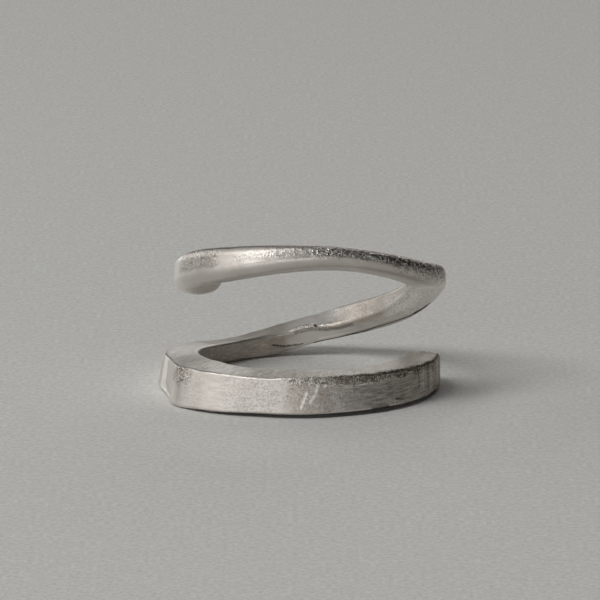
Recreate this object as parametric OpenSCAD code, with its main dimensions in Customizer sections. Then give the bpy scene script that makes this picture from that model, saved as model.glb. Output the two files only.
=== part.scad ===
// Open coil ring of hand-filed silver: a wide lower band and a slim upper band, one strand.
// The finger axis is Z, the floor is Z = 0, and the front is -Y.

/* [Ring] */
// Inner diameter that the finger passes through
finger_d = 16.5; // [15:0.5:21]
// Height of the wide lower band at the front
band_h = 3; // [2.6:0.1:3.4]
// Height of the upper band's underside above the floor, where it is highest
crest_z = 10.9; // [10:0.1:12]

/* [Finish] */
// Degrees of turn between two rings of the mesh
turn_step = 3; // [2.5:0.5:6]
// Segments on each rounded edge
edge_steps = 4; // [3:1:5]

/* [Hidden] */

finger_r = finger_d / 2;
end_h = band_h - 0.5;

// Columns of the table of sections
TURN = 0;   // degrees clockwise seen from above: 0 at the right, 90 at the front, 180 at the left
CLEAR = 1;  // how far the section stands off the finger
THICK = 2;  // from its inner face to its outer face
HIGH = 3;   // from its lower face to its upper face
LOW = 4;    // height of its lowest corner above the floor
ROLL = 5;   // degrees that its outer face turns upward: past 90 its lower face is on the outside
FLARE = 6;  // how much further out its lower outer edge is than its upper one
DROP = 7;   // how much lower its upper outer edge is than its upper inner one
RIDGE = 8;  // how far the middle of its lower face stands out
ROUND = 9;  // radius of its edges

SECTIONS = [
    // turn, clear, thick, high,      low,  roll, flare, drop, ridge, round
    [  -4, 0.5,  1.6,  1.2,           0.7,    0, 0,    0,     0,    0.35],
    [   0, 0.35, 2.15, 1.9,           0.35,   0, 0,    0,     0,    0.4],
    [   5, 0.25, 2.4,  end_h,         0.1,    0, 0,    0.1,   0,    0.4],
    [  11, 0.25, 2.45, band_h,        0,      0, 0.1,  0.15,  0,    0.25],
    [  20, 0.25, 2.5,  band_h,        0,      0, 0.2,  0.25,  0,    0.2],
    [  30, 0.2,  2.6,  band_h,        0,      0, 0.4,  0.2,   0,    0.2],
    [  50, 0.2,  2.65, band_h,        0,      0, 0.5,  0,     0,    0.2],
    [  70, 0.1,  2.8,  band_h,        0,      0, 0.6,  0,     0,    0.2],
    [  90, 0,    3.15, band_h + 0.1,  0,      0, 0.6,  0.1,   0,    0.2],
    [ 107, 0,    3.2,  band_h + 0.05, 0,      0, 0.7,  0.1,   0,    0.2],
    [ 120, 0.1,  3.35, band_h,        0,      0, 1.0,  0,     0,    0.2],
    [ 134, 0.1,  3.7,  band_h,        0,      0, 1.1,  0,     0,    0.2],
    [ 142, 0.1,  3.9,  band_h,        0,      0, 0.9,  0,     0,    0.2],
    [ 150, 0.05, 3.6,  band_h - 0.1,  0,      0, 0.7,  0,     0,    0.2],
    [ 160, 0,    3.1,  band_h - 0.2,  0,      0, 0.5,  0,     0,    0.2],
    [ 180, 0,    3.0,  2.5,           0,      0, 0.5,  0,     0,    0.25],
    [ 200, 0.1,  2.8,  2.15,          0,      0, 0.2,  0.15,  0,    0.25],
    [ 215, 0.2,  2.6,  1.85,          0,      0, 0,    0.1,   0,    0.25],
    [ 230, 0.25, 2.5,  1.7,           0,      0, 0,    0.3,   0,    0.25],
    [ 240, 0.25, 2.5,  1.75,          0,      0, 0,    0.35,  0,    0.25],
    [ 252, 0.25, 2.5,  1.8,           0.1,    0, 0,    0.1,   0,    0.25],
    [ 262, 0.25, 2.6,  1.7,           0.4,    4, 0,    0,     0,    0.25],
    [ 272, 0.25, 2.7,  1.7,           0.8,    6, 0,    0,     0,    0.25],
    [ 278, 0.25, 2.6,  1.55,          1.05,  13, 0,    0,     0,    0.25],
    [ 285, 0.25, 2.35, 1.5,           1.25,  31, 0,    0,     0,    0.25],
    [ 292, 0.25, 2.15, 1.85,          1.45,  47, 0,    0,     0,    0.3],
    [ 300, 0.25, 2.05, 2.45,          1.8,   60, 0,    0,     0,    0.3],
    [ 320, 0.25, 2.1,  2.65,          3.3,   71, 0,    0,     0,    0.4],
    [ 340, 0.25, 2.1,  2.7,           5.4,   83, 0,    0,     0,    0.7],
    [ 360, 0.25, 2.0,  2.8,           7.4,   90, 0,    0,     0,    0.8],
    [ 385, 0.25, 1.9,  2.6,           8.55, 102, 0,    0,     0,    0.8],
    [ 410, 0.2,  1.7,  2.3,          10.0,  112, 0,    0,     0.05, 0.75],
    [ 430, 0.1,  1.65, 2.15,         10.8,  118, 0,    0,     0.1,  0.7],
    [ 450, 0,    1.85, 2.1,          10.9,  120, 0,    0,     0.12, 0.7],
    [ 470, 0,    2.3,  2.0,          10.4,  118, 0,    0,     0.12, 0.75],
    [ 495, 0,    2.8,  2.0,           9.35, 108, 0,    0,     0.05, 0.8],
    [ 520, 0,    2.8,  1.9,           8.3,   98, 0,    0,     0,    0.8],
    [ 540, 0,    2.6,  1.9,           7.4,   90, 0,    0,     0,    0.8],
    [ 560, 0,    2.3,  1.9,           6.4,   90, 0,    0,     0,    0.8],
    [ 574, 0,    2.1,  1.8,           6.15,  90, 0,    0,     0,    0.75],
    [ 579, 0.2,  1.4,  1.3,           6.4,   90, 0,    0,     0,    0.5],
];
last = len(SECTIONS) - 1;
rise = crest_z / max([for (s = SECTIONS) s[LOW]]);

// Slope of a column at row i, from its neighbours
function slope(c, i) =
    let (a = max(i - 1, 0), b = min(i + 1, last))
    (SECTIONS[b][c] - SECTIONS[a][c]) / (SECTIONS[b][TURN] - SECTIONS[a][TURN]);

// Index of the row that turn t follows
function row(t, i = 0) = i >= last - 1 || t < SECTIONS[i + 1][TURN] ? i : row(t, i + 1);

// Value of column c at turn t, on a smooth curve through the rows
function at(c, t) =
    let (i = row(t),
         span = SECTIONS[i + 1][TURN] - SECTIONS[i][TURN],
         s = (t - SECTIONS[i][TURN]) / span)
    SECTIONS[i][c] * (2 * pow(s, 3) - 3 * pow(s, 2) + 1)
    + slope(c, i) * span * (pow(s, 3) - 2 * pow(s, 2) + s)
    + SECTIONS[i + 1][c] * (3 * pow(s, 2) - 2 * pow(s, 3))
    + slope(c, i + 1) * span * (pow(s, 3) - pow(s, 2));

// Outline of the section at turn t, as [outward, upward] from its middle
function outline(t) =
    let (w = at(THICK, t) / 2, h = at(HIGH, t) / 2, r = at(ROUND, t),
         flare = at(FLARE, t), drop = at(DROP, t))
    [[0, -h - at(RIDGE, t)],
     for (corner = [3 : 6], k = [0 : edge_steps])
        let (turn = 90 * (corner + k / edge_steps),
             sx = corner == 3 || corner == 4 ? 1 : -1,
             sy = corner == 4 || corner == 5 ? 1 : -1,
             x = sx * (w - r) + r * cos(turn),
             y = sy * (h - r) + r * sin(turn))
        [x - (sx > 0 ? flare * y / (2 * h) : 0),
         y - (sy > 0 ? drop * (x + w) / (2 * w) : 0)]];

// The same outline in space, rolled and set round the finger
function ring_at(t) =
    let (s = sin(at(ROLL, t)), c = cos(at(ROLL, t)),
         half_w = at(THICK, t) / 2, half_h = at(HIGH, t) / 2,
         middle_r = finger_r + at(CLEAR, t) + half_w * abs(c) + half_h * abs(s),
         middle_z = max(0, at(LOW, t)) * rise + half_w * abs(s) + half_h * abs(c))
    [for (p = outline(t))
        let (r = middle_r + p[0] * c - p[1] * s)
        [r * cos(t), -r * sin(t), middle_z + p[0] * s + p[1] * c]];

// Middle of a ring of points
function centre(ring) = [for (p = ring) 1] * ring / len(ring);

// Skin over a list of rings with equal numbers of points, closed by a fan at both ends
module sweep(rings) {
    n = len(rings[0]);
    m = len(rings);
    polyhedron(
        points = [for (r = rings) each r, centre(rings[0]), centre(rings[m - 1])],
        faces = [
            for (k = [0 : n - 1]) [k, (k + 1) % n, m * n],
            for (i = [0 : m - 2], k = [0 : n - 1])
                let (a = i * n + k, b = i * n + (k + 1) % n)
                each [[a, a + n, b], [b, a + n, b + n]],
            for (k = [0 : n - 1]) [(m - 1) * n + (k + 1) % n, (m - 1) * n + k, m * n + 1]
        ]
    );
}

module coil_band() {
    first = SECTIONS[0][TURN];
    span = SECTIONS[last][TURN] - first;
    count = ceil(span / turn_step);
    color("silver")
        sweep([for (i = [0 : count]) ring_at(first + span * i / count)]);
}

coil_band();
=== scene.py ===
# Open coil ring of hand-filed silver: its skin, material, floor, light and camera.
import math

import bpy
import numpy as np
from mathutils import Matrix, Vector, noise


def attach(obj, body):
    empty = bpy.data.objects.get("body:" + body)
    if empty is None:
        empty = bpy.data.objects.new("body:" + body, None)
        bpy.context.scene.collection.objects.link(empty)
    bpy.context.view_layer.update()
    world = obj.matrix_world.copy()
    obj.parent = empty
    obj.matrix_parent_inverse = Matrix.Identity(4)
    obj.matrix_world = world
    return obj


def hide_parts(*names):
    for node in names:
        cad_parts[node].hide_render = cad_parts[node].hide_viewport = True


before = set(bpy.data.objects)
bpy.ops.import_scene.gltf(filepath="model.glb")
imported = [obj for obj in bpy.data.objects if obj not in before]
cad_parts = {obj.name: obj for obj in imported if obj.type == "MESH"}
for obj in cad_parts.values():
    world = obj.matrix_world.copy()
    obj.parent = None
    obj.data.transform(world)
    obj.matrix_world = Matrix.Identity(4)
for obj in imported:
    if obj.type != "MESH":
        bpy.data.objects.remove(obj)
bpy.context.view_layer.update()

NODE = "coil_band"
# A millimetre in metres
MM = 0.001

# The strand
# The rows repeat the table of sections that the solid is built from, in degrees and millimetres.
FINGER_RADIUS = 8.25
COLUMNS = ("turn", "clear", "thick", "high", "low", "roll", "flare", "drop", "ridge", "round")
SECTIONS = np.array([
    (-4, 0.5, 1.6, 1.2, 0.7, 0, 0, 0, 0, 0.35),
    (0, 0.35, 2.15, 1.9, 0.35, 0, 0, 0, 0, 0.4),
    (5, 0.25, 2.4, 2.5, 0.1, 0, 0, 0.1, 0, 0.4),
    (11, 0.25, 2.45, 3.0, 0, 0, 0.1, 0.15, 0, 0.25),
    (20, 0.25, 2.5, 3.0, 0, 0, 0.2, 0.25, 0, 0.2),
    (30, 0.2, 2.6, 3.0, 0, 0, 0.4, 0.2, 0, 0.2),
    (50, 0.2, 2.65, 3.0, 0, 0, 0.5, 0, 0, 0.2),
    (70, 0.1, 2.8, 3.0, 0, 0, 0.6, 0, 0, 0.2),
    (90, 0, 3.15, 3.1, 0, 0, 0.6, 0.1, 0, 0.2),
    (107, 0, 3.2, 3.05, 0, 0, 0.7, 0.1, 0, 0.2),
    (120, 0.1, 3.35, 3.0, 0, 0, 1.0, 0, 0, 0.2),
    (134, 0.1, 3.7, 3.0, 0, 0, 1.1, 0, 0, 0.2),
    (142, 0.1, 3.9, 3.0, 0, 0, 0.9, 0, 0, 0.2),
    (150, 0.05, 3.6, 2.9, 0, 0, 0.7, 0, 0, 0.2),
    (160, 0, 3.1, 2.8, 0, 0, 0.5, 0, 0, 0.2),
    (180, 0, 3.0, 2.5, 0, 0, 0.5, 0, 0, 0.25),
    (200, 0.1, 2.8, 2.15, 0, 0, 0.2, 0.15, 0, 0.25),
    (215, 0.2, 2.6, 1.85, 0, 0, 0, 0.1, 0, 0.25),
    (230, 0.25, 2.5, 1.7, 0, 0, 0, 0.3, 0, 0.25),
    (240, 0.25, 2.5, 1.75, 0, 0, 0, 0.35, 0, 0.25),
    (252, 0.25, 2.5, 1.8, 0.1, 0, 0, 0.1, 0, 0.25),
    (262, 0.25, 2.6, 1.7, 0.4, 4, 0, 0, 0, 0.25),
    (272, 0.25, 2.7, 1.7, 0.8, 6, 0, 0, 0, 0.25),
    (278, 0.25, 2.6, 1.55, 1.05, 13, 0, 0, 0, 0.25),
    (285, 0.25, 2.35, 1.5, 1.25, 31, 0, 0, 0, 0.25),
    (292, 0.25, 2.15, 1.85, 1.45, 47, 0, 0, 0, 0.3),
    (300, 0.25, 2.05, 2.45, 1.8, 60, 0, 0, 0, 0.3),
    (320, 0.25, 2.1, 2.65, 3.3, 71, 0, 0, 0, 0.4),
    (340, 0.25, 2.1, 2.7, 5.4, 83, 0, 0, 0, 0.7),
    (360, 0.25, 2.0, 2.8, 7.4, 90, 0, 0, 0, 0.8),
    (385, 0.25, 1.9, 2.6, 8.55, 102, 0, 0, 0, 0.8),
    (410, 0.2, 1.7, 2.3, 10.0, 112, 0, 0, 0.05, 0.75),
    (430, 0.1, 1.65, 2.15, 10.8, 118, 0, 0, 0.1, 0.7),
    (450, 0, 1.85, 2.1, 10.9, 120, 0, 0, 0.12, 0.7),
    (470, 0, 2.3, 2.0, 10.4, 118, 0, 0, 0.12, 0.75),
    (495, 0, 2.8, 2.0, 9.35, 108, 0, 0, 0.05, 0.8),
    (520, 0, 2.8, 1.9, 8.3, 98, 0, 0, 0, 0.8),
    (540, 0, 2.6, 1.9, 7.4, 90, 0, 0, 0, 0.8),
    (560, 0, 2.3, 1.9, 6.4, 90, 0, 0, 0, 0.8),
    (574, 0, 2.1, 1.8, 6.15, 90, 0, 0, 0, 0.75),
    (579, 0.2, 1.4, 1.3, 6.4, 90, 0, 0, 0, 0.5),
])
# Outward and upward sides of a section's edges: lower outer, upper outer, upper inner, lower inner
CORNERS = ((1, -1), (1, 1), (-1, 1), (-1, -1))
# Rings along the strand, and points in each quarter of a ring
RINGS = 1010
QUARTER_POINTS = 24
# Steps on each rounded edge while the outline is drawn, and the width of an edge in places
EDGE_STEPS = 24
EDGE_SPAN = 0.3
# Distance between rings and between points, roughly, in millimetres
RING_SPACING = 0.1
POINT_SPACING = 0.083
# Low dome that closes each end: number of its rings, and its height in millimetres
DOME_RINGS = 6
DOME_DEPTH = 0.12
# Least length that a normal is divided by
SHORTEST_NORMAL = 1e-9

# Flat filed stretches of the outer face: first turn at its lower edge and at its upper one, last turn
# likewise, and painted tone from -1, painted shade, to 1, painted highlight.
FACETS = (
    (145, 150.3, 160, 162.5, 0),
    (160, 162.5, 168.6, 170.2, 1),
    (168.6, 170.2, 177, 178, -0.15),
)
# Places of a facet's lower and upper ends
FACET_PLACES = (0.6, 1.35)
# First and last place that are flattened and that are toned, and the half widths of their soft ends
FLAT_PLACES = (0.25, 1.85, 0.1, 0.2)
TONED_PLACES = (0.62, 1.36, 0.04, 0.04)
# Half width of the soft ends of a facet's tone, in degrees
TONE_END = 0.4
# Edges sharper or rounder than their row says: number of the corner, first and last turn, and share of
# the radius.
EDGE_SHARES = (
    (0, 12, 148, 0.4),
    (1, 94, 175, 0.4),
    (2, 262, 318, 1.5),
    (2, 318, 378, 1.6),
)
# Half width of the soft ends of these stretches, in degrees
EDGE_SHARE_END = 5

# Areas of the skin: first and last turn, first and last place on the outline, and strength.
# Place 0 is the middle of the lower face, 1 of the outer one, 2 of the upper one, 3 of the inner one.
# A place past 4 is on the lower face again.
# Rough with pits, dark specks, and bright specks that are painted glints
PITTED = (
    (98, 122, 0.65, 1.45, 0.45),
    (66, 98, 0.65, 1.6, 0.45),
    (45, 98, 1.25, 1.75, 1.4),
    (40, 74, 1.2, 1.6, 1.8),
    (12, 50, 1.3, 1.7, 1.6),
    (18, 66, 0.65, 1.5, 0.3),
    (-4, 17, 1.0, 2.1, 1.0),
    (138, 147, 1.05, 1.5, 1.5),
    (130, 141, 0.7, 1.4, 0.3),
    (120, 172, 1.42, 1.6, 0.5),
    (488, 518, 3.9, 4.6, 0.8),
    (372, 412, 3.5, 4.45, 1.1),
    (405, 446, 3.6, 4.45, 1.0),
    (446, 466, 3.8, 4.55, 0.5),
    (280, 326, 1.6, 2.45, 0.35),
    (322, 366, 1.6, 3.3, 0.6),
    (262, 286, 2.3, 2.7, 0.9),
    (60, 112, 1.6, 2.4, 0.5),
    (150, 200, 1.6, 2.4, 0.2),
)
# Darkened by tarnish, and by painted shade where faces turn from the light or a glint is dulled
TARNISHED_AND_SHADED = (
    # Tarnish with painted shade on the lower band's outer face towards its right end
    (-4, 24, 0.5, 1.5, 0.75),
    (18, 50, 0.5, 1.5, 0.3),
    (14, 50, 1.22, 1.62, 1.0),
    (48, 76, 1.25, 1.6, 0.8),
    (70, 118, 1.6, 2.4, 0.28),
    (14, 75, 1.6, 2.4, 0.12),
    (138, 149, 1.1, 1.5, 0.5),
    (120, 150, 1.45, 1.6, 0.3),
    (485, 520, 3.8, 4.7, 0.3),
    (430, 505, 3.3, 3.9, 0.1),
    (79, 96, 0.6, 1.4, 0.4),
    (120, 141, 0.6, 1.4, 0.12),
    # Tarnish on the upper strand, with painted shade that dulls its rim and its highlight
    (372, 416, 3.5, 4.85, 0.3),
    (396, 412, 3.8, 4.62, 0.7),
    (392, 422, 4.42, 4.98, 0.4),
    (372, 425, 3.1, 3.6, 0.15),
    (450, 500, 3.8, 4.7, 0.12),
    # Painted shade on the rear strand's inner wall and upper face, and over the glints on its ridge
    (190, 262, 2.6, 3.5, 0.55),
    (215, 262, 1.5, 2.45, 0.5),
    (285, 356, 1.4, 1.72, 0.5),
    (318, 345, 1.7, 2.45, 0.3),
    (285, 291, 1.7, 2.6, 0.45),
    (289, 306, 1.7, 2.6, 0.5),
    (303, 318, 1.7, 2.6, 0.4),
    (262, 316, 2.42, 2.65, 0.45),
    (279, 298, 2.35, 2.65, 0.6),
    (-4, 16, 1.2, 2.1, 0.8),
)
# Lightened: worn bright silver, and painted highlights where faces catch light
WORN_AND_HIGHLIGHTED = (
    (118, 165, 1.6, 2.4, 0.4),
    (165, 205, 1.6, 2.4, 1.0),
    # Painted highlight and painted reflection on the rear strand, its right bend and the upper strand's end
    (264, 283, 1.7, 2.35, 0.7),
    (270, 345, 2.6, 3.4, 0.4),
    (322, 385, 2.25, 3.5, 1.0),
    (518, 580, 3.0, 4.9, 0.65),
)
# Uneven with shallow dents
DENTED = (
    (436, 510, 3.5, 4.6, 0.5),
    (150, 200, 1.6, 2.4, 0.3),
    (285, 350, 1.6, 2.4, 0.4),
    (12, 98, 1.35, 1.7, 3),
    (205, 285, 0.4, 2.4, 0.3),
    (285, 579, 0.7, 2.9, 0.3),
)
# Painted shade: black under the edge that clears the floor
SHADED_UNDER_EDGE = (
    (-4, 200, 3.6, 4.42, 1.0),
)
# Crooked lines of painted glints, also cut in as grooves, on a darker ground
WORMED = (
    (376, 426, 3.76, 4.45, 1.3),
    (428, 446, 3.76, 4.45, 0.8),
    (446, 470, 3.8, 4.4, 0.35),
    (466, 480, 3.9, 4.3, 0.3),
)
# Fine lines along the strand
BRUSHED = (
    (16, 76, 0.6, 1.4, 1.0),
    (76, 135, 0.6, 1.4, 0.3),
    (190, 262, 2.6, 3.5, 0.6),
    (290, 345, 2.5, 3.4, 0.4),
    (205, 345, 0.5, 1.9, 0.3),
    (345, 579, 0.7, 2.9, 0.25),
)
# Fine lines across the upper face
SCRATCHED = (
    (60, 165, 1.6, 2.4, 1.0),
    (165, 205, 1.6, 2.4, 0.8),
    (14, 60, 1.6, 2.4, 0.5),
)
# Kinds of area with ragged outlines: name, areas, and how many times as soft as usual their ends are
AREAS = (
    ("pitted", PITTED, 1),
    ("tarnish_and_shade", TARNISHED_AND_SHADED, 1),
    ("dented", DENTED, 1),
    ("wormed", WORMED, 1),
    ("dark_marks_and_shade", SHADED_UNDER_EDGE, 1),
    ("wear_and_highlight", WORN_AND_HIGHLIGHTED, 3),
    ("brushed", BRUSHED, 3),
    ("scratched", SCRATCHED, 3),
)
# Usual half widths of an area's soft ends, in degrees and in places
AREA_TURN_END = 3
AREA_PLACE_END = 0.08
# How far the ragged outlines wander, in degrees and in places
RAGGED_TURNS = 3
RAGGED_PLACES = 0.1
# Places that are filed away, with the depth in millimetres in place of the strength. A negative depth
# stands out.
FILED = (
    (62, 100, 1.4, 1.7, 0.1),
    (150, 165, 0.25, 0.8, -0.11),
)
# How far the lower outer edge clears the floor, in millimetres, along the turns.
UNDERCUT_TURNS = (-4, 20, 70, 110, 130, 139)
UNDERCUT = (0.1, 0.26, 0.3, 0.26, 0.12, 0)
# First and last place that are lifted, and the half widths of their soft ends
LIFTED_PLACES = (0.2, 0.95, 0.12, 0.35)

# Depths of the relief, in millimetres
SWELL_DEPTH = 0.02
RIPPLE_DEPTH = 0.012
DENT_DEPTH = 0.022
PIT_DEPTH = 0.02
PIT_LINE_DEPTH = 0.02
WORM_DEPTH = 0.025
# Noises of the relief: size of their features in millimetres, and seed
SWELL_NOISE = (2.6, 1)
RIPPLE_NOISE = (1.1, 2)
PIT_NOISE = (0.42, 3)
RAGGED_TURN_NOISE = (0.9, 4)
RAGGED_PLACE_NOISE = (0.7, 5)
CROOKED_NOISE = (0.3, 6)
DENT_NOISE = (0.6, 7)
# Shift of a noise for each seed, in its features
SEED_SHIFT = 17.3
# Half width of the crooked lines, in values of their noise
CROOKED_WIDTH = 0.13
# Height above the floor, in millimetres, over which the relief grows from none to its full depth
FULL_RELIEF_HEIGHT = 0.3

# Fine lines on the skin: half width and depth in millimetres, tone from -1, black, to 1, bright, and the
# turn and place of each point that the line runs through.
MARKS = (
    (0.12, 0.05, 1.0, ((83.7, 1.3), (85.2, 1.07))),
    (0.1, 0.05, 1.0, ((85.4, 1.03), (87.4, 0.88))),
    (0.11, 0.05, 1.0, ((88.3, 1.13), (89.1, 1.0), (91.0, 0.78))),
    (0.1, 0.03, 0.9, ((81.1, 1.27), (81.5, 1.2))),
    (0.09, 0.02, 0.6, ((66.0, 1.04), (61.6, 1.03))),
    (0.09, 0.02, 0.6, ((65.0, 0.97), (61.6, 0.97))),
    (0.09, 0.02, 0.7, ((50.9, 0.9), (50.9, 0.7))),
    (0.1, 0.03, -0.5, ((34.6, 1.45), (34.9, 1.1), (36.0, 0.85))),
    (0.1, 0.03, 0.35, ((30.2, 1.4), (31.9, 1.05), (32.6, 0.8))),
    (0.3, 0.02, -0.35, ((25.8, 1.3), (27.3, 1.0), (28.5, 0.8))),
    (0.1, 0.03, 0.3, ((23.4, 1.2), (24.6, 0.9))),
    (0.1, 0.03, -0.6, ((20.5, 1.5), (21.5, 1.15))),
    (0.2, 0.02, 0.3, ((15.4, 1.3), (15.7, 0.95), (17.4, 0.8))),
    (0.1, 0, -0.3, ((96, 2.47), (86, 2.47), (76, 2.47), (66, 2.47))),
    # Painted shade along the edge between two facets
    (0.08, 0.02, -0.35, ((159.7, 0.75), (162.3, 1.3))),
    (0.09, 0.06, -0.9, ((62.1, 0.66), (58.0, 0.65), (54.1, 0.66))),
    (0.08, 0.04, -0.6, ((50.4, 0.74), (47.0, 0.71))),
    # Painted contact shade along the rear strand's foot on the floor
    (0.08, 0.05, -0.9, ((252.9, 3.0), (260.0, 3.22), (267.5, 3.3), (270.1, 3.28))),
    (0.1, 0, -0.55, ((176, 1.5), (165, 1.5), (155, 1.5), (145, 1.5), (134, 1.5), (124, 1.5))),
    # Painted shade that dulls the glint on the rear strand's ridge, in two rows
    (0.26, 0, -0.35, ((266, 2.55), (275, 2.58), (284, 2.6))),
    (0.2, 0, -0.4, ((284, 2.58), (290, 2.6), (297, 2.55))),
    # Painted highlight along the rear strand's rounded lower edge
    (0.12, 0.02, 1.0, ((278.4, 3.3), (287.4, 3.22), (294.2, 3.12), (302, 3.07), (309.7, 2.97), (318.5, 2.97),
                       (330, 3.02))),
    # Painted shade along the rear strand's underside, in two rows
    (0.14, 0.03, -1.0, ((276, 3.54), (287, 3.45), (294, 3.3), (300, 3.26), (307.5, 3.2), (316, 3.22),
                        (325, 3.28), (331, 3.36), (341, 3.42))),
    (0.2, 0.05, -1.0, ((328, 3.32), (337, 3.4))),
    (0.12, 0.04, -1.0, ((276.2, 2.46), (276.6, 2.5))),
    # Painted shade along the upper strand's top rim, in two rows
    (0.13, 0, -0.5, ((512, 0.5), (495, 0.51), (485, 0.51), (474.5, 0.51), (465, 0.48), (455.8, 0.46),
                     (446, 0.47))),
    (0.18, 0, -0.55, ((446, 0.49), (434, 0.49), (425, 0.49), (417, 0.48), (409, 0.47))),
)

# Names of the masks that the material reads from the skin
MASKS = ("dark_marks_and_shade", "tarnish_and_shade", "wear_and_highlight", "pitted", "wormed", "brushed", "scratched")

# Colours of the silver
SILVER = (0.72, 0.692, 0.655, 1)
SILVER_WARM = (0.69, 0.652, 0.61, 1)
# Tarnish, also used as painted shade
TARNISH_AND_SHADE_COLOR = (0.255, 0.205, 0.145, 1)
PIT_COLOR = (0.10, 0.085, 0.075, 1)
# Worn bright silver, also used for painted highlights and painted glints
BRIGHT_WEAR_AND_HIGHLIGHT_COLOR = (0.96, 0.935, 0.9, 1)
# Black of the dark marks and of the painted shade under the edge
DARK_MARK_AND_SHADE_COLOR = (0.025, 0.02, 0.016, 1)

# Noises of the silver: scale, detail and roughness
GRAIN = (5500, 3, 0.6)
CLOUDS = (700, 3, 0.5)
SPECKLE = (8500, 2, 0.7)
CROOKED = (3000, 0, 0.5)
STREAKS = (1, 3, 0.5)
SCRATCHES = (1, 3, 0.5)
# Value that such a noise swings about
NOISE_MIDDLE = 0.5
# Turn in degrees and scale of the places that the streaks and the scratches are read at
STREAK_STRETCH = (0, (1.1, 9, 1))
SCRATCH_STRETCH = (28, (8000, 900, 900))
# Ranges that a noise is mapped from and to: share of the warm silver, unevenness of the tarnish and painted
# shade, roughness
WARM_RANGE = (0.35, 0.65, 0, 1)
UNEVEN_RANGE = (0.3, 0.7, 0.75, 1.15)
ROUGHNESS_RANGE = (0.3, 0.7, 0.4, 0.54)
# Layers of colour in order: mask, noise, the noise's values where the layer starts and where it is full, its
# full strength, and its colour.
LAYERS = (
    ("brushed", "streaks", 0.5, 0.62, 0.5, TARNISH_AND_SHADE_COLOR),
    ("scratched", "scratches", 0.52, 0.64, 0.42, TARNISH_AND_SHADE_COLOR),
    ("pitted", "speckle", 0.5, 0.62, 0.75, PIT_COLOR),
    ("wormed", "worms", 0.06, 0.11, 0.4, PIT_COLOR),
    ("brushed", "streaks", 0.44, 0.36, 0.45, BRIGHT_WEAR_AND_HIGHLIGHT_COLOR),
    ("scratched", "scratches", 0.44, 0.34, 0.6, BRIGHT_WEAR_AND_HIGHLIGHT_COLOR),
    # Painted glints: bright specks in the pits and bright crooked lines
    ("pitted", "speckle", 0.44, 0.34, 0.7, BRIGHT_WEAR_AND_HIGHLIGHT_COLOR),
    ("wormed", "worms", 0.06, 0.02, 1, BRIGHT_WEAR_AND_HIGHLIGHT_COLOR),
)
# Where the crooked lines' ridges start and where they are full, and their strength
WORM_RIDGES = (0.12, 0, 1)
# Bumps: strength, and distance in metres
SPECKLE_BUMP = (0.5, 0.00006)
WORM_BUMP = (0.7, 0.00005)
GRAIN_BUMP = (0.35, 0.00002)

# The floor: size and height in metres, then the colours of its grain and of its faint clouds
FLOOR_SIZE = 3
FLOOR_HEIGHT = -0.00002
FLOOR_DARK = (0.66, 0.66, 0.638, 1)
FLOOR_LIGHT = (0.85, 0.85, 0.825, 1)
FLOOR_CLOUD = (0.69, 0.68, 0.66, 1)
# Its noises, and the ranges that they are mapped from and to
FLOOR_GRAIN = (2600, 3, 0.75)
FLOOR_CLOUDS = (500, 2, 0.5)
FLOOR_GRAIN_RANGE = (0.36, 0.64, 0, 1)
FLOOR_CLOUD_RANGE = (0.3, 0.7, 0, 0.3)
FLOOR_ROUGHNESS = 0.9
FLOOR_SPECULAR = 0.1

# The camera: elevation in degrees, lens and sensor in millimetres, and distances in metres
CAMERA_ELEVATION = 13.19
CAMERA_DISTANCE = 0.4
CAMERA_NEAREST = 0.01
CAMERA_LENS = 303.4
CAMERA_SENSOR = 36
AIM = Vector((-0.00024, 0, 0.00667))

# Lights: name, azimuth and elevation in degrees, distance, width and height in metres, and power in watts.
# Azimuth 0 is the front, 90 the right.
LIGHTS = (
    ("key", -60, 50, 1.0, 0.27, 0.65, 3.6),
    ("top", -30, 72, 1.0, 0.5, 0.35, 0.5),
    ("top_back", -150, 60, 2.0, 1.0, 0.7, 1.6),
    ("left_fill", -95, 28, 1.0, 0.5, 0.35, 1.0),
    ("back_left", -130, 28, 2.0, 1.0, 0.7, 3.2),
    ("back_right", 165, 28, 2.0, 1.0, 0.7, 4.0),
    ("low_back", 180, 8, 2.0, 1.2, 0.5, 0.8),
    ("low_left", -45, 8, 1.0, 0.5, 0.27, 0.75),
    ("low_front", -15, 8, 1.0, 0.5, 0.27, 0.9),
    ("low_right", 15, 8, 1.0, 0.5, 0.27, 0.6),
    ("low_back_left", -140, 8, 2.0, 1.0, 0.5, 3.2),
    ("low_side", -75, 8, 1.0, 0.5, 0.27, 0.3),
)
LIGHT_COLOR = (1, 0.99, 0.975)
WORLD_COLOR = (1, 1, 0.98, 1)
WORLD_STRENGTH = 0.01


# Skin of the strand
def column(name, turns):
    """Values of one column at the turns given, on a smooth curve through its rows."""
    knots = SECTIONS[:, 0]
    values = SECTIONS[:, COLUMNS.index(name)]
    count = len(knots)
    before = np.maximum(np.arange(count) - 1, 0)
    after = np.minimum(np.arange(count) + 1, count - 1)
    slopes = (values[after] - values[before]) / (knots[after] - knots[before])
    i = np.clip(np.searchsorted(knots, turns, side="right") - 1, 0, count - 2)
    span = knots[i + 1] - knots[i]
    s = (turns - knots[i]) / span
    return (values[i] * (2 * s**3 - 3 * s**2 + 1) + slopes[i] * span * (s**3 - 2 * s**2 + s)
            + values[i + 1] * (3 * s**2 - 2 * s**3) + slopes[i + 1] * span * (s**3 - s**2))


def soft_step(x):
    """0 below -1, 1 above 1, and smooth between."""
    t = np.clip((x + 1) / 2, 0, 1)
    return t * t * (3 - 2 * t)


def soft_band(x, low, high, low_end, high_end):
    """1 from low to high and 0 outside, with soft ends of the half widths given."""
    return soft_step((x - low) / low_end) * soft_step((high - x) / high_end)


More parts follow.
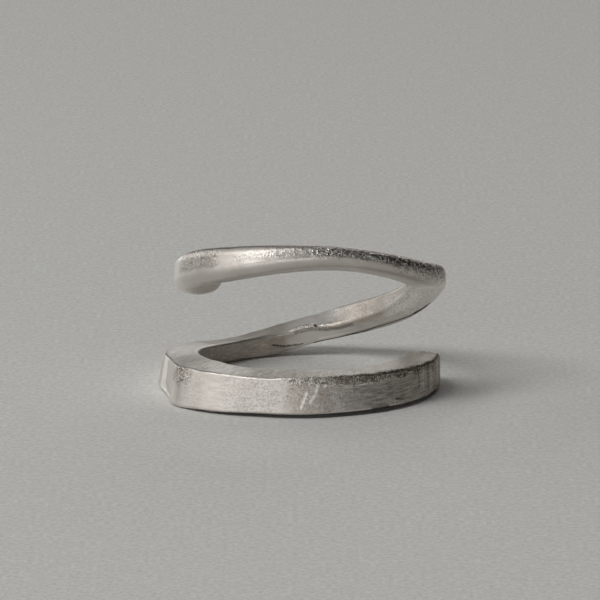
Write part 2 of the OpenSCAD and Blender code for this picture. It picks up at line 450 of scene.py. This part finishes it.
def edge_point(corner, share, half_w, half_h, edge, flare, drop, ridge):
    """Point a share of the way round a rounded edge, as outward and upward distances from the section's
    middle."""
    sx, sy = CORNERS[corner]
    # The first edge starts pointing down, at 270 degrees.
    angle = math.radians(90 * (corner + 3 + share))
    x = sx * (half_w - edge) + edge * math.cos(angle)
    y = sy * (half_h - edge) + edge * math.sin(angle)
    flared_x = x - flare * y / (2 * half_h) if sx > 0 else x
    if sy > 0:
        return flared_x, y - drop * (x + half_w) / (2 * half_w)
    return flared_x, y - ridge * (1 - (x / half_w) ** 2)


def face_middle(face, half_w, half_h, drop, ridge):
    """Middle of a face: 0 is the lower one, 1 the outer, 2 the upper and 3 the inner."""
    if face == 0:
        return 0, -half_h - ridge
    if face == 2:
        return 0, half_h - drop / 2
    return (half_w, 0) if face == 1 else (-half_w, 0)


def outline(half_w, half_h, flare, drop, ridge, *edges):
    """A section's outline from the middle of its inner face round: points evenly spaced in each quarter,
    as outward and upward distances from its middle, and the place of each."""
    points, places = [], []
    for face in (3, 0, 1, 2):
        stops = [face_middle(face, half_w, half_h, drop, ridge)]
        stops += [edge_point(face, k / EDGE_STEPS, half_w, half_h, edges[face], flare, drop, ridge)
                  for k in range(EDGE_STEPS + 1)]
        stops.append(face_middle((face + 1) % 4, half_w, half_h, drop, ridge))
        stops = np.array(stops)
        stop_places = [face]
        stop_places += [face + 0.5 + EDGE_SPAN * (k / EDGE_STEPS - 0.5) for k in range(EDGE_STEPS + 1)]
        stop_places.append(face + 1)
        lengths = np.linalg.norm(np.diff(stops, axis=0), axis=1)
        run = np.concatenate([[0], np.cumsum(lengths)])
        even = np.linspace(0, run[-1], QUARTER_POINTS, endpoint=False)
        points.append(np.stack([np.interp(even, run, stops[:, 0]), np.interp(even, run, stops[:, 1])], -1))
        places.append(np.interp(even, run, stop_places))
    return np.concatenate(points), np.concatenate(places)


def edge_radii(turns):
    """Radius of each of the four edges at the turns."""
    radii = [column("round", turns) for _ in CORNERS]
    for corner, first, last, share in EDGE_SHARES:
        inside = soft_band(turns, first, last, EDGE_SHARE_END, EDGE_SHARE_END)
        radii[corner] = radii[corner] * (1 - inside * (1 - share))
    return radii


def build_rings(turns):
    """Rings of points in millimetres, set round the finger, and each point's place on the outline."""
    half_w, half_h = column("thick", turns) / 2, column("high", turns) / 2
    others = [column(name, turns) for name in ("flare", "drop", "ridge")]
    outlines = [outline(*shape) for shape in zip(half_w, half_h, *others, *edge_radii(turns))]
    points = np.array([found[0] for found in outlines])
    places = np.array([found[1] for found in outlines])
    roll = np.radians(column("roll", turns))
    s, c = np.sin(roll), np.cos(roll)
    middle_r = FINGER_RADIUS + column("clear", turns) + half_w * abs(c) + half_h * abs(s)
    middle_z = np.maximum(0, column("low", turns)) + half_w * abs(s) + half_h * abs(c)
    x, y = points[..., 0].T, points[..., 1].T
    r = middle_r + x * c - y * s
    z = middle_z + x * s + y * c
    angle = np.radians(turns)
    rings = np.stack([r * np.cos(angle), -r * np.sin(angle), z], axis=-1)
    return rings.transpose(1, 0, 2), places


def add_dome(rings, at_start):
    """Closes one end of the strand with rings that shrink to a low dome. Returns its tip as well."""
    end, inside = (rings[0], rings[1]) if at_start else (rings[-1], rings[-2])
    middle = end.mean(axis=0)
    outward = middle - inside.mean(axis=0)
    outward /= np.linalg.norm(outward)
    shares = [k / (DOME_RINGS + 1) for k in range(1, DOME_RINGS + 1)]
    domes = [middle + (end - middle) * math.cos(share * math.pi / 2)
             + outward * DOME_DEPTH * math.sin(share * math.pi / 2) for share in shares]
    tip = middle + outward * DOME_DEPTH
    if at_start:
        return np.concatenate([domes[::-1], rings]), tip
    return np.concatenate([rings, domes]), tip


def ring_normals(rings):
    """Outward unit normals at the points of the rings."""
    along = np.gradient(rings, axis=0)
    around = np.roll(rings, -1, axis=1) - np.roll(rings, 1, axis=1)
    normals = np.cross(along, around)
    return normals / np.maximum(np.linalg.norm(normals, axis=2, keepdims=True), SHORTEST_NORMAL)


def noise_at(points, size, seed):
    """Smooth noise between about -1 and 1, with features of the size given in millimetres."""
    shifted = points.reshape(-1, 3) / size + seed * SEED_SHIFT
    return np.array([noise.noise(p) for p in shifted.tolist()]).reshape(points.shape[:-1])


def area_strength(areas, turns, places, softness=1):
    """Strength of the soft-edged areas at each point of the skin: the strongest one where they overlap."""
    total = np.zeros(turns.shape)
    turn_end, place_end = softness * AREA_TURN_END, softness * AREA_PLACE_END
    for first, last, low, high, strength in areas:
        # An area that runs past place 4 reads the lower face's places as 4 to 5.
        across = places + 4 * (places < low - 1)
        inside = soft_band(turns, first, last, turn_end, turn_end)
        inside = inside * soft_band(across, low, high, place_end, place_end)
        total = np.where(abs(strength) * inside > abs(total), strength * inside, total)
    return total


def area_masks(rings, turns, places):
    """Strength of each kind of area at the points of the skin, with ragged outlines."""
    ragged_turns = turns[:, None] + RAGGED_TURNS * noise_at(rings, *RAGGED_TURN_NOISE)
    ragged_places = places + RAGGED_PLACES * noise_at(rings, *RAGGED_PLACE_NOISE)
    return {name: area_strength(areas, ragged_turns, ragged_places, softness)
            for name, areas, softness in AREAS}


def facet_ends(facet, place):
    """First and last turn of a facet at a place on the outline."""
    first_low, first_high, last_low, last_high, _ = facet
    return (np.interp(place, FACET_PLACES, (first_low, first_high)),
            np.interp(place, FACET_PLACES, (last_low, last_high)))


def flatten_facets(rings, turns, places):
    """Flattens the filed stretches of the outer face between their ends."""
    weight = soft_band(places, *FLAT_PLACES)
    for facet in FACETS:
        middle = np.searchsorted(turns, (facet[0] + facet[3]) / 2)
        for j in np.flatnonzero(weight[middle]):
            ends = facet_ends(facet, places[middle, j])
            first, last = ([np.interp(turn, turns, rings[:, j, axis]) for axis in range(3)] for turn in ends)
            inside = (turns > ends[0]) & (turns < ends[1])
            share = (turns[inside, None] - ends[0]) / (ends[1] - ends[0])
            flat = np.array(first) * (1 - share) + np.array(last) * share
            rings[inside, j] += weight[inside, j, None] * (flat - rings[inside, j])


def facet_tones(turns, places):
    """Painted highlight and painted shade of the facets at each point of the skin."""
    tones = np.zeros(places.shape)
    on_face = soft_band(places, *TONED_PLACES)
    for facet in FACETS:
        first, last = facet_ends(facet, places)
        tones += facet[-1] * soft_band(turns[:, None], first, last, TONE_END, TONE_END) * on_face
    return tones


def lift_edge(rings, turns, places):
    """Lifts the lower outer edge off the floor."""
    share = soft_band(places, *LIFTED_PLACES)
    rings[..., 2] += np.interp(turns, UNDERCUT_TURNS, UNDERCUT)[:, None] * share


def relief_heights(rings, turns, places, masks):
    """How far the relief stands out at each point of the skin, in millimetres, before the fine lines."""
    swell = SWELL_DEPTH * noise_at(rings, *SWELL_NOISE) + RIPPLE_DEPTH * noise_at(rings, *RIPPLE_NOISE)
    filed = area_strength(FILED, turns[:, None] + 0 * places, places)
    dents = DENT_DEPTH * masks["dented"] * noise_at(rings, *DENT_NOISE)
    crooked = np.exp(-(noise_at(rings, *CROOKED_NOISE) / CROOKED_WIDTH) ** 2)
    pits = masks["pitted"] * (PIT_DEPTH * noise_at(rings, *PIT_NOISE) - PIT_LINE_DEPTH * crooked)
    return swell - filed + dents + pits - WORM_DEPTH * masks["wormed"] * crooked


def line_share(rings, turns, places, half_width, stops):
    """How far each point of the skin is inside a fine line, from 0 at its edge to 1 at its middle."""
    corners = []
    for turn, place in stops:
        i = np.argmin(abs(turns - turn))
        corners.append(rings[i, np.argmin(abs(places[i] - place))])
    share = np.zeros(rings.shape[:2])
    for a, b in zip(corners, corners[1:]):
        along = np.clip((rings - a) @ (b - a) / ((b - a) @ (b - a)), 0, 1)
        distance = np.linalg.norm(rings - a - along[..., None] * (b - a), axis=-1)
        share = np.maximum(share, np.clip(1 - distance / half_width, 0, 1))
    return share


def draw_lines(rings, turns, places, relief, masks):
    """Cuts the fine marks into the relief and puts their tones in the masks: real marks, and painted shade
    and painted highlights along some edges. The inner half of a mark has its full tone."""
    for half_width, depth, tone, stops in MARKS:
        share = line_share(rings, turns, places, half_width, stops)
        relief -= depth * share
        core = np.minimum(2 * share, 1)
        brighter, darker = max(0, tone) * core, max(0, -tone) * core
        masks["wear_and_highlight"] = np.maximum(masks["wear_and_highlight"], brighter)
        masks["dark_marks_and_shade"] = np.maximum(masks["dark_marks_and_shade"], darker)
        for name in ("pitted", "tarnish_and_shade"):
            masks[name] *= 1 - brighter


def carve(rings, turns, places):
    """Adds the skin's relief. Returns the points, and the masks by name, which are 0 outside their areas."""
    flatten_facets(rings, turns, places)
    lift_edge(rings, turns, places)
    normals = ring_normals(rings)
    masks = area_masks(rings, turns, places)
    relief = relief_heights(rings, turns, places, masks)
    tones = facet_tones(turns, places)
    # The facets' tones go in as painted highlight and painted shade
    masks["wear_and_highlight"] = np.maximum(masks["wear_and_highlight"], tones)
    masks["tarnish_and_shade"] = np.maximum(masks["tarnish_and_shade"], -tones)
    draw_lines(rings, turns, places, relief, masks)
    off_floor = np.clip(rings[..., 2] / FULL_RELIEF_HEIGHT, 0, 1)
    return rings + normals * (relief * off_floor)[..., None], masks


# Mesh of the skin
def strand_faces(count, size):
    """Quads between the rings, then a fan of triangles at each end, as numbers of the vertices."""
    index = np.arange(count * size).reshape(count, size)
    following = np.roll(index, -1, axis=1)
    quads = np.stack([index[:-1], following[:-1], following[1:], index[1:]], axis=-1)
    first_tip, last_tip = count * size, count * size + 1
    last_ring = (count - 1) * size
    first_fan = [[k, first_tip, (k + 1) % size] for k in range(size)]
    last_fan = [[last_ring + k, last_ring + (k + 1) % size, last_tip] for k in range(size)]
    return quads.reshape(-1, 4).tolist() + first_fan + last_fan


def corner_grid(count, size):
    """Ring number and point number of every corner of the faces, in the order of strand_faces. The points
    run on to the number `size`, so that the last quad of a ring doesn't run back to 0."""
    ring, point = np.meshgrid(np.arange(count - 1), np.arange(size), indexing="ij")
    quads = np.stack([ring, point, ring, point + 1, ring + 1, point + 1, ring + 1, point], -1)
    k = np.arange(size)
    start, end = 0 * k, 0 * k + count - 1
    first_fan = np.stack([start, k, start - 1, k + 0.5, start, k + 1], -1)
    last_fan = np.stack([end, k, end, k + 1, end + 1, k + 0.5], -1)
    return np.concatenate([quads.reshape(-1, 2), first_fan.reshape(-1, 2), last_fan.reshape(-1, 2)])


def add_masks(mesh, masks):
    """Stores the masks on the vertices. A dome has the values of the ring that it closes, and its tip 0."""
    for name in MASKS:
        values = masks[name]
        first, last = values[:1].repeat(DOME_RINGS, 0), values[-1:].repeat(DOME_RINGS, 0)
        on_rings = np.concatenate([first, values, last]).ravel()
        stored = mesh.attributes.new(name, "FLOAT", "POINT")
        stored.data.foreach_set("value", np.concatenate([on_rings, [0, 0]]).astype(np.float32))


def add_strand_coordinates(mesh, count, size):
    """Stores how far each corner of the faces is along the strand and round it, in millimetres."""
    corners = corner_grid(count, size)
    coordinates = np.column_stack([corners * (RING_SPACING, POINT_SPACING), 0 * corners[:, 0]])
    stored = mesh.attributes.new("strand", "FLOAT_VECTOR", "CORNER")
    stored.data.foreach_set("vector", coordinates.ravel().astype(np.float32))


def make_strand():
    turns = np.linspace(SECTIONS[0, 0], SECTIONS[-1, 0], RINGS)
    rings, places = build_rings(turns)
    rings, masks = carve(rings, turns, places)
    rings, first_tip = add_dome(rings, True)
    rings, last_tip = add_dome(rings, False)
    count, size = rings.shape[:2]
    vertices = np.concatenate([rings.reshape(-1, 3), [first_tip, last_tip]]) * MM
    mesh = bpy.data.meshes.new("coil_skin")
    mesh.from_pydata(vertices.tolist(), [], strand_faces(count, size))
    mesh.update()
    mesh.shade_smooth()
    add_masks(mesh, masks)
    add_strand_coordinates(mesh, count, size)
    skin = bpy.data.objects.new("coil_skin", mesh)
    bpy.context.collection.objects.link(skin)
    return skin


# Materials
def feed(tree, socket, value):
    """Links an output to an input, or sets the input to a plain value."""
    if isinstance(value, bpy.types.NodeSocket):
        tree.links.new(value, socket)
    else:
        socket.default_value = value


def attribute(tree, name, output="Fac"):
    node = tree.nodes.new("ShaderNodeAttribute")
    node.attribute_name = name
    return node.outputs[output]


def object_place(tree):
    return tree.nodes.new("ShaderNodeTexCoord").outputs["Object"]


def stretch(tree, coordinates, angle, scale):
    """Coordinates turned about Z by an angle in degrees, then scaled."""
    turned = tree.nodes.new("ShaderNodeMapping")
    feed(tree, turned.inputs["Vector"], coordinates)
    turned.inputs["Rotation"].default_value = (0, 0, math.radians(angle))
    scaled = tree.nodes.new("ShaderNodeMapping")
    feed(tree, scaled.inputs["Vector"], turned.outputs["Vector"])
    scaled.inputs["Scale"].default_value = scale
    return scaled.outputs["Vector"]


def noise_texture(tree, coordinates, scale, detail, roughness):
    node = tree.nodes.new("ShaderNodeTexNoise")
    feed(tree, node.inputs["Vector"], coordinates)
    node.inputs["Scale"].default_value = scale
    node.inputs["Detail"].default_value = detail
    node.inputs["Roughness"].default_value = roughness
    return node.outputs["Fac"]


def calculate(tree, operation, a, b, clamp=False):
    node = tree.nodes.new("ShaderNodeMath")
    node.operation = operation
    node.use_clamp = clamp
    feed(tree, node.inputs[0], a)
    feed(tree, node.inputs[1], b)
    return node.outputs[0]


def map_range(tree, value, low, high, to_low, to_high):
    node = tree.nodes.new("ShaderNodeMapRange")
    feed(tree, node.inputs["Value"], value)
    for name, number in (("From Min", low), ("From Max", high), ("To Min", to_low), ("To Max", to_high)):
        node.inputs[name].default_value = number
    return node.outputs["Result"]


def blend_colors(tree, share, first, second):
    """Mix of two colours. They are sockets 6 and 7 of a Mix node, and its result is output 2."""
    node = tree.nodes.new("ShaderNodeMix")
    node.data_type = "RGBA"
    feed(tree, node.inputs[0], share)
    feed(tree, node.inputs[6], first)
    feed(tree, node.inputs[7], second)
    return node.outputs[2]


def bump(tree, height, strength, distance, normal=None):
    node = tree.nodes.new("ShaderNodeBump")
    feed(tree, node.inputs["Height"], height)
    node.inputs["Strength"].default_value = strength
    node.inputs["Distance"].default_value = distance
    if normal:
        feed(tree, node.inputs["Normal"], normal)
    return node.outputs["Normal"]


def masked(tree, mask, pattern, low, high, strength):
    """Mask times a pattern that rises from 0 at `low` to `strength` at `high`."""
    return calculate(tree, "MULTIPLY", mask, map_range(tree, pattern, low, high, 0, strength), True)


def silver_patterns(tree):
    """The noises that the silver's colour and bumps follow."""
    place = object_place(tree)
    strand_place = attribute(tree, "strand", "Vector")
    crooked = noise_texture(tree, place, *CROOKED)
    return {
        "grain": noise_texture(tree, place, *GRAIN),
        "clouds": noise_texture(tree, place, *CLOUDS),
        "speckle": noise_texture(tree, place, *SPECKLE),
        "streaks": noise_texture(tree, stretch(tree, strand_place, *STREAK_STRETCH), *STREAKS),
        "scratches": noise_texture(tree, stretch(tree, place, *SCRATCH_STRETCH), *SCRATCHES),
        "worms": calculate(tree, "ABSOLUTE", calculate(tree, "SUBTRACT", crooked, NOISE_MIDDLE), 0),
    }


def silver_color(tree, masks, patterns):
    """Two silvers in clouds, then the darkened areas (real patina and painted shade), the lightened areas
    (worn silver and painted highlights), the layers, and the dark marks and painted shade over them.
    """
    clouds = patterns["clouds"]
    color = blend_colors(tree, map_range(tree, clouds, *WARM_RANGE), SILVER, SILVER_WARM)
    uneven = map_range(tree, clouds, *UNEVEN_RANGE)
    tarnish_and_shade = calculate(tree, "MULTIPLY", masks["tarnish_and_shade"], uneven, True)
    color = blend_colors(tree, tarnish_and_shade, color, TARNISH_AND_SHADE_COLOR)
    color = blend_colors(tree, masks["wear_and_highlight"], color, BRIGHT_WEAR_AND_HIGHLIGHT_COLOR)
    for mask, pattern, low, high, strength, layer_color in LAYERS:
        share = masked(tree, masks[mask], patterns[pattern], low, high, strength)
        color = blend_colors(tree, share, color, layer_color)
    return blend_colors(tree, masks["dark_marks_and_shade"], color, DARK_MARK_AND_SHADE_COLOR)


def silver_material():
    material = bpy.data.materials.new("raw_silver")
    material.use_nodes = True
    tree = material.node_tree
    shader = tree.nodes["Principled BSDF"]
    masks = {name: attribute(tree, name) for name in MASKS}
    patterns = silver_patterns(tree)
    feed(tree, shader.inputs["Base Color"], silver_color(tree, masks, patterns))
    shader.inputs["Metallic"].default_value = 1
    feed(tree, shader.inputs["Roughness"], map_range(tree, patterns["grain"], *ROUGHNESS_RANGE))
    fine = bump(tree, calculate(tree, "MULTIPLY", patterns["speckle"], masks["pitted"]), *SPECKLE_BUMP)
    fine = bump(tree, masked(tree, masks["wormed"], patterns["worms"], *WORM_RIDGES), *WORM_BUMP, fine)
    feed(tree, shader.inputs["Normal"], bump(tree, patterns["grain"], *GRAIN_BUMP, fine))
    return material


def floor_material():
    material = bpy.data.materials.new("pale_floor")
    material.use_nodes = True
    tree = material.node_tree
    shader = tree.nodes["Principled BSDF"]
    place = object_place(tree)
    grain = map_range(tree, noise_texture(tree, place, *FLOOR_GRAIN), *FLOOR_GRAIN_RANGE)
    clouds = map_range(tree, noise_texture(tree, place, *FLOOR_CLOUDS), *FLOOR_CLOUD_RANGE)
    color = blend_colors(tree, clouds, blend_colors(tree, grain, FLOOR_DARK, FLOOR_LIGHT), FLOOR_CLOUD)
    feed(tree, shader.inputs["Base Color"], color)
    shader.inputs["Roughness"].default_value = FLOOR_ROUGHNESS
    shader.inputs["Specular IOR Level"].default_value = FLOOR_SPECULAR
    return material


# Floor, light and camera
def make_floor():
    bpy.ops.mesh.primitive_plane_add(size=FLOOR_SIZE, location=(0, 0, FLOOR_HEIGHT))
    floor = bpy.context.object
    floor.name = "floor"
    floor.data.materials.append(floor_material())


def direction(azimuth, elevation):
    """Unit vector from the ring outward, at angles in degrees: azimuth 0 is the front, 90 the right."""
    a, e = math.radians(azimuth), math.radians(elevation)
    return Vector((math.sin(a) * math.cos(e), -math.cos(a) * math.cos(e), math.sin(e)))


def add_light(name, azimuth, elevation, distance, width, height, power):
    data = bpy.data.lights.new(name, "AREA")
    data.shape = "RECTANGLE"
    data.size = width
    data.size_y = height
    data.energy = power
    data.color = LIGHT_COLOR
    light = bpy.data.objects.new(name, data)
    bpy.context.collection.objects.link(light)
    toward = direction(azimuth, elevation)
    light.location = toward * distance
    light.rotation_euler = toward.to_track_quat("Z", "Y").to_euler()


def make_lights():
    world = bpy.data.worlds.new("studio")
    bpy.context.scene.world = world
    world.use_nodes = True
    background = world.node_tree.nodes["Background"]
    background.inputs["Color"].default_value = WORLD_COLOR
    background.inputs["Strength"].default_value = WORLD_STRENGTH
    for light in LIGHTS:
        add_light(*light)


def make_camera():
    data = bpy.data.cameras.new("camera")
    data.lens = CAMERA_LENS
    data.sensor_width = CAMERA_SENSOR
    data.clip_start = CAMERA_NEAREST
    camera = bpy.data.objects.new("camera", data)
    bpy.context.collection.objects.link(camera)
    toward = direction(0, CAMERA_ELEVATION)
    camera.location = AIM + toward * CAMERA_DISTANCE
    camera.rotation_euler = toward.to_track_quat("Z", "Y").to_euler()
    bpy.context.scene.camera = camera


strand = make_strand()
strand.data.materials.append(silver_material())
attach(strand, "root")
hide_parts(NODE)
make_floor()
make_lights()
make_camera()
bpy.context.scene.view_settings.view_transform = "Standard"
